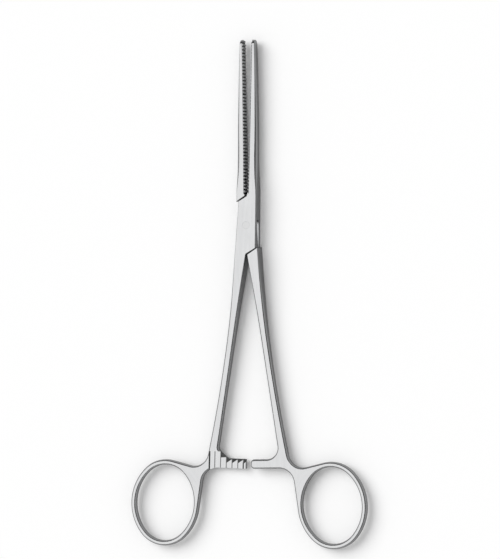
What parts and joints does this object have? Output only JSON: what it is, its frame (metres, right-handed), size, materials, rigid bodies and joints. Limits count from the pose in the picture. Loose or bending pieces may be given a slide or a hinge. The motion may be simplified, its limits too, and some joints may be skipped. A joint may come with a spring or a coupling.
{
  "type": "hemostat forceps",
  "caption": "Straight box-lock hemostat forceps with long cross-serrated jaws, finger rings and a ratchet, held slightly open.",
  "frame": {"origin": "on the hinge axis, at the flat back face of the box lock, on which the forceps lies", "axes": "+Y along the forceps towards the jaw tips, +Z out of the front face along the hinge axis, +X towards the male half's ring"},
  "size_m": [0.0978, 0.2005, 0.0064],
  "materials": {
    "forged_steel": "polished stainless steel, satin along the shanks",
    "pin_steel": "stainless steel, ground flush"
  },
  "bodies": {
    "female_forging": {"female_half": "forged_steel", "lock_pin": "pin_steel"},
    "male_forging": {"male_half": "forged_steel"}
  },
  "joints": [
    {"name": "box_hinge", "type": "hinge", "parent": "female_forging", "child": "male_forging", "pos_m": [0, 0, 0.0032], "axis": [0, 0, 1], "range_deg": [-2.94, 62]}
  ]
}
